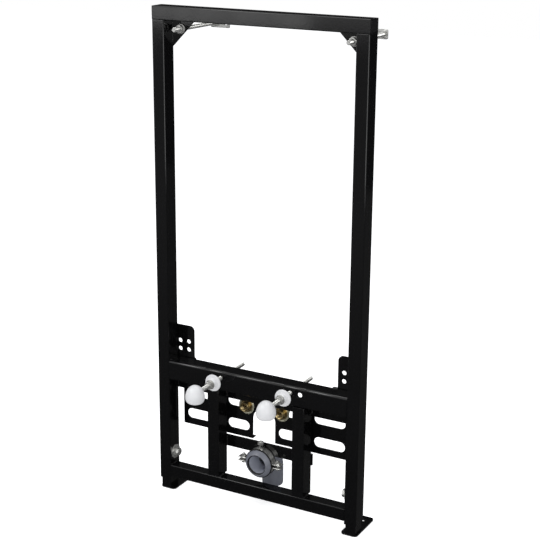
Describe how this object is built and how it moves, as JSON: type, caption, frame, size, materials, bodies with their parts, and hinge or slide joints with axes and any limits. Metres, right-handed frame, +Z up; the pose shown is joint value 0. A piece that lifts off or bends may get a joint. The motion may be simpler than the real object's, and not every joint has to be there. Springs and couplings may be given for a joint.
{
  "type": "bidet installation frame",
  "caption": "Welded floor frame that carries a wall-hung bidet, with telescopic feet, wall rods, bowl studs, tap elbows and a clamped waste bend.",
  "frame": {"origin": "on the floor, under the middle of the outline with the feet 27 mm out", "axes": "+Z up along the posts, +Y towards the wall, +X to the right as seen from the room"},
  "size_m": [0.522, 0.315, 1.147],
  "materials": {
    "black_coating": "glossy black coating on steel",
    "black_plastic": "black plastic plug",
    "zinc": "bright zinc plating",
    "white_plastic": "smooth white plastic",
    "grey_plastic": "satin grey waste pipe",
    "brass": "machined brass",
    "rubber": "black rubber"
  },
  "bodies": {
    "frame": {"left_post": "black_coating", "right_post": "black_coating", "top_rail": "black_coating", "rail_caps": "black_plastic", "bottom_rail": "black_coating", "left_strut": "black_coating", "right_strut": "black_coating", "mounting_beam": "black_coating", "beam_ribs": "black_coating", "left_ear_plate": "black_coating", "right_ear_plate": "black_coating", "slotted_plate": "black_coating", "waste_crossbar": "black_coating", "left_gusset": "black_coating", "right_gusset": "black_coating", "left_lock_bolt": "zinc", "right_lock_bolt": "zinc", "left_wall_rod": "zinc", "right_wall_rod": "zinc", "left_rod_nuts": "zinc", "right_rod_nuts": "zinc", "left_wall_bracket": "zinc", "right_wall_bracket": "zinc", "left_stud": "zinc", "right_stud": "zinc", "left_stud_disc": "white_plastic", "right_stud_disc": "white_plastic", "left_stud_nuts": "zinc", "right_stud_nuts": "zinc", "left_stud_cap": "white_plastic", "right_stud_cap": "white_plastic", "left_tap_elbow": "brass", "right_tap_elbow": "brass", "tap_flanges": "zinc", "waste_bend": "grey_plastic", "waste_seal": "rubber", "clamp_upper_band": "zinc", "clamp_lower_band": "zinc", "clamp_lining": "rubber", "clamp_screws": "zinc", "clamp_hanger_bolt": "zinc"},
    "left_foot": {"left_leg": "black_coating", "left_foot_plate": "black_coating"},
    "right_foot": {"right_leg": "black_coating", "right_foot_plate": "black_coating"}
  },
  "joints": [
    {"name": "left_foot_slide", "type": "slide", "parent": "frame", "child": "left_foot", "axis": [0, 0, -1], "range_m": [-0.018, 0.173]},
    {"name": "right_foot_slide", "type": "slide", "parent": "frame", "child": "right_foot", "axis": [0, 0, -1], "range_m": [-0.018, 0.173]}
  ]
}
